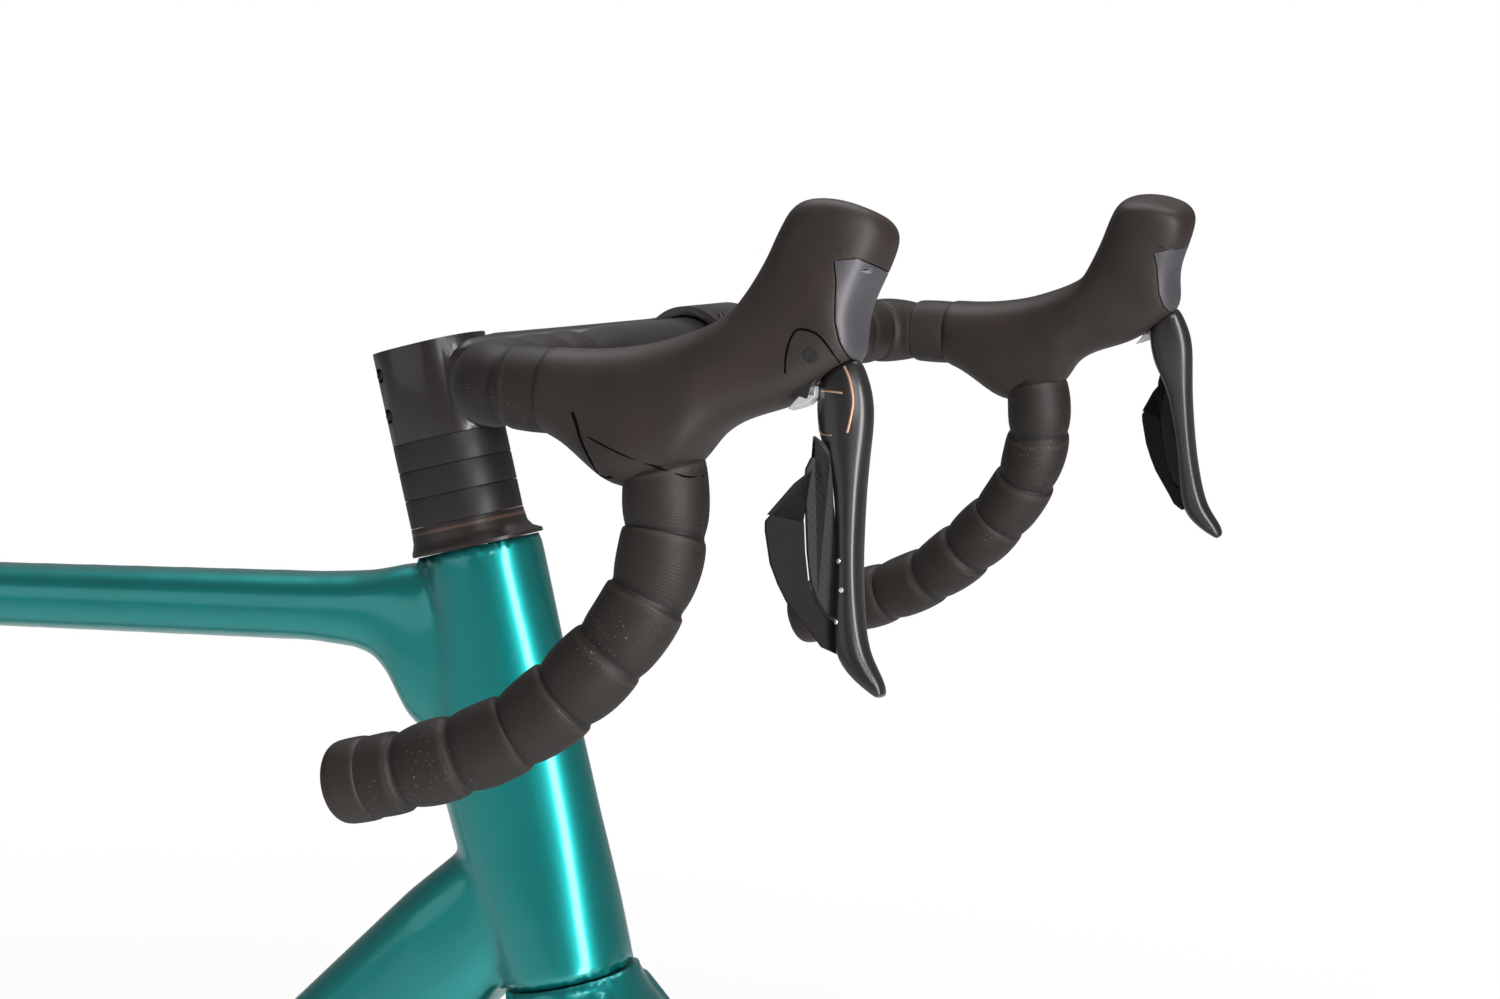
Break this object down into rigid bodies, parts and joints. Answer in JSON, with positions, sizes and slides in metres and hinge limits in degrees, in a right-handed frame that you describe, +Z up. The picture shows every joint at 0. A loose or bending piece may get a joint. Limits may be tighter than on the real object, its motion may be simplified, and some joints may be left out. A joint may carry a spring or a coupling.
{
  "type": "road bicycle",
  "caption": "Drop-bar road bicycle with teal frame, deep wheels, disc brakes, full chain drive, derailleurs and shift levers.",
  "frame": {"origin": "on the ground, midway between the wheel axles, in the centre plane of the frame", "axes": "+X forward, +Y to the left of the rider, +Z up"},
  "size_m": [1.69, 0.4538, 1.0191],
  "materials": {
    "frame_paint": "gloss metallic teal paint on moulded composite",
    "composite_satin": "satin black composite",
    "composite_gloss": "gloss black composite",
    "plate_satin": "satin dark grey",
    "hood_rubber": "matte brown-black rubber",
    "grip_tape": "matte black cushioned tape",
    "saddle_cover": "matte black cover",
    "tyre_rubber": "matte black tyre",
    "alloy_black": "satin black anodised",
    "alloy_silver": "satin silver",
    "steel_black": "black steel",
    "steel_bright": "bright steel"
  },
  "bodies": {
    "frame": {"front_triangle": "frame_paint", "rear_triangle": "frame_paint", "derailleur_hanger": "alloy_black", "bottle_bosses": "alloy_black", "headset_bearings": "steel_bright", "bottom_bracket": "alloy_black", "seatpost": "composite_satin", "seatpost_clamp": "alloy_black", "saddle_clamp": "alloy_black", "saddle_rails": "steel_black", "saddle": "saddle_cover", "front_derailleur": "alloy_black", "rear_derailleur": "alloy_black", "rear_caliper": "alloy_black", "rear_axle": "steel_black", "chain": "steel_bright"},
    "steering": {"fork": "frame_paint", "headset_cover": "composite_satin", "headset_spacers": "composite_satin", "stem": "composite_satin", "stem_faceplate": "composite_satin", "stem_bolts": "steel_black", "stem_top_cap": "composite_satin", "handlebar": "composite_satin", "bar_tape": "grip_tape", "bar_end_plugs": "composite_satin", "brake_hoods": "hood_rubber", "lever_brackets": "plate_satin", "front_caliper": "alloy_black", "front_axle": "steel_black"},
    "front_wheel": {"front_rim": "composite_satin", "front_tyre": "tyre_rubber", "front_spokes": "steel_black", "front_hub": "alloy_black", "front_disc": "steel_bright"},
    "rear_wheel": {"rear_rim": "composite_satin", "rear_tyre": "tyre_rubber", "rear_spokes": "steel_black", "rear_hub": "alloy_black", "rear_disc": "steel_bright"},
    "cassette": {"cassette": "steel_bright"},
    "cranks": {"right_crank": "alloy_black", "left_crank": "alloy_black", "chainrings": "alloy_black", "pedal_axles": "steel_bright"},
    "right_pedal": {"right_pedal": "composite_satin"},
    "left_pedal": {"left_pedal": "composite_satin"},
    "right_brake_lever": {"right_brake_lever": "composite_gloss"},
    "left_brake_lever": {"left_brake_lever": "composite_gloss"},
    "right_front_paddle": {"right_front_paddle": "plate_satin"},
    "right_rear_paddle": {"right_rear_paddle": "plate_satin"},
    "left_front_paddle": {"left_front_paddle": "plate_satin"},
    "left_rear_paddle": {"left_rear_paddle": "plate_satin"},
    "front_derailleur_cage": {"front_derailleur_cage": "alloy_black"},
    "rear_derailleur_outer_link": {"rear_derailleur_outer_link": "alloy_black"},
    "rear_derailleur_inner_link": {"rear_derailleur_inner_link": "alloy_black"},
    "rear_derailleur_knuckle": {"rear_derailleur_knuckle": "alloy_black"},
    "rear_derailleur_cage": {"rear_derailleur_cage": "composite_satin"},
    "guide_pulley": {"guide_pulley": "composite_satin"},
    "tension_pulley": {"tension_pulley": "composite_satin"}
  },
  "joints": [
    {"name": "steering_turn", "type": "hinge", "parent": "frame", "child": "steering", "pos_m": [0.46197, 0, 0.32684], "axis": [-0.2924, 0, 0.9563], "range_deg": [-50, 50]},
    {"name": "front_wheel_spin", "type": "hinge", "parent": "steering", "child": "front_wheel", "pos_m": [0.505, 0, 0.34], "axis": [0, 1, 0], "continuous": true},
    {"name": "rear_wheel_spin", "type": "hinge", "parent": "frame", "child": "rear_wheel", "pos_m": [-0.505, 0, 0.34], "axis": [0, 1, 0], "continuous": true},
    {"name": "cassette_spin", "type": "hinge", "parent": "frame", "child": "cassette", "pos_m": [-0.505, 0, 0.34], "axis": [0, 1, 0], "continuous": true, "deforming": ["chain"]},
    {"name": "crank_spin", "type": "hinge", "parent": "frame", "child": "cranks", "pos_m": [-0.09899, 0, 0.27], "axis": [0, 1, 0], "continuous": true, "deforming": ["chain"]},
    {"name": "right_pedal_spin", "type": "hinge", "parent": "cranks", "child": "right_pedal", "pos_m": [0.07351, -0.111, 0.27], "axis": [0, 1, 0], "continuous": true},
    {"name": "left_pedal_spin", "type": "hinge", "parent": "cranks", "child": "left_pedal", "pos_m": [-0.27149, 0.111, 0.27], "axis": [0, 1, 0], "continuous": true},
    {"name": "right_brake_pull", "type": "hinge", "parent": "steering", "child": "right_brake_lever", "pos_m": [0.52748, -0.2, 0.96791], "axis": [0, 0.9794, -0.2018], "range_deg": [0, 17], "stiffness_Nm_per_rad": 1.2},
    {"name": "left_brake_pull", "type": "hinge", "parent": "steering", "child": "left_brake_lever", "pos_m": [0.52748, 0.2, 0.96791], "axis": [0, 0.9794, 0.2018], "range_deg": [0, 17], "stiffness_Nm_per_rad": 1.2},
    {"name": "right_front_paddle_press", "type": "hinge", "parent": "right_brake_lever", "child": "right_front_paddle", "pos_m": [0.54448, -0.21245, 0.91738], "axis": [0, -0.2018, -0.9794], "range_deg": [0, 6], "stiffness_Nm_per_rad": 0.6},
    {"name": "right_rear_paddle_press", "type": "hinge", "parent": "right_brake_lever", "child": "right_rear_paddle", "pos_m": [0.54448, -0.21527, 0.90367], "axis": [0, -0.2018, -0.9794], "range_deg": [0, 6], "stiffness_Nm_per_rad": 0.6},
    {"name": "left_front_paddle_press", "type": "hinge", "parent": "left_brake_lever", "child": "left_front_paddle", "pos_m": [0.54448, 0.21245, 0.91738], "axis": [0, -0.2018, 0.9794], "range_deg": [0, 6], "stiffness_Nm_per_rad": 0.6},
    {"name": "left_rear_paddle_press", "type": "hinge", "parent": "left_brake_lever", "child": "left_rear_paddle", "pos_m": [0.54448, 0.21527, 0.90367], "axis": [0, -0.2018, 0.9794], "range_deg": [0, 6], "stiffness_Nm_per_rad": 0.6},
    {"name": "front_derailleur_swing", "type": "hinge", "parent": "frame", "child": "front_derailleur_cage", "pos_m": [-0.12099, -0.031, 0.414], "axis": [1, 0, 0], "range_deg": [0, 10], "stiffness_Nm_per_rad": 0.4, "deforming": ["chain"]},
    {"name": "outer_link_swing", "type": "hinge", "parent": "frame", "child": "rear_derailleur_outer_link", "pos_m": [-0.535, -0.1021, 0.284], "axis": [0, 0, 1], "range_deg": [-14, 30], "stiffness_Nm_per_rad": 0.5, "deforming": ["chain"]},
    {"name": "inner_link_swing", "type": "hinge", "parent": "frame", "child": "rear_derailleur_inner_link", "pos_m": [-0.535, -0.0901, 0.284], "axis": [0, 0, 1], "range_deg": [-14, 30]},
    {"name": "knuckle_swing", "type": "hinge", "parent": "rear_derailleur_outer_link", "child": "rear_derailleur_knuckle", "pos_m": [-0.489, -0.1021, 0.284], "axis": [0, 0, 1], "range_deg": [-30, 14]},
    {"name": "cage_swing", "type": "hinge", "parent": "rear_derailleur_knuckle", "child": "rear_derailleur_cage", "pos_m": [-0.498, -0.047, 0.248], "axis": [0, 1, 0], "range_deg": [-25, 25], "stiffness_Nm_per_rad": 0.4, "deforming": ["chain"]},
    {"name": "guide_pulley_spin", "type": "hinge", "parent": "rear_derailleur_cage", "child": "guide_pulley", "pos_m": [-0.498, -0.047, 0.248], "axis": [0, 1, 0], "continuous": true},
    {"name": "tension_pulley_spin", "type": "hinge", "parent": "rear_derailleur_cage", "child": "tension_pulley", "pos_m": [-0.48234, -0.047, 0.19423], "axis": [0, 1, 0], "continuous": true}
  ],
  "couplings": [
    {"joint": "cassette_spin", "follows": "crank_spin", "ratio": 3.7143},
    {"joint": "inner_link_swing", "follows": "outer_link_swing", "ratio": 1},
    {"joint": "knuckle_swing", "follows": "outer_link_swing", "ratio": -1},
    {"joint": "guide_pulley_spin", "follows": "crank_spin", "ratio": 4.7273},
    {"joint": "tension_pulley_spin", "follows": "crank_spin", "ratio": -4.7273}
  ]
}
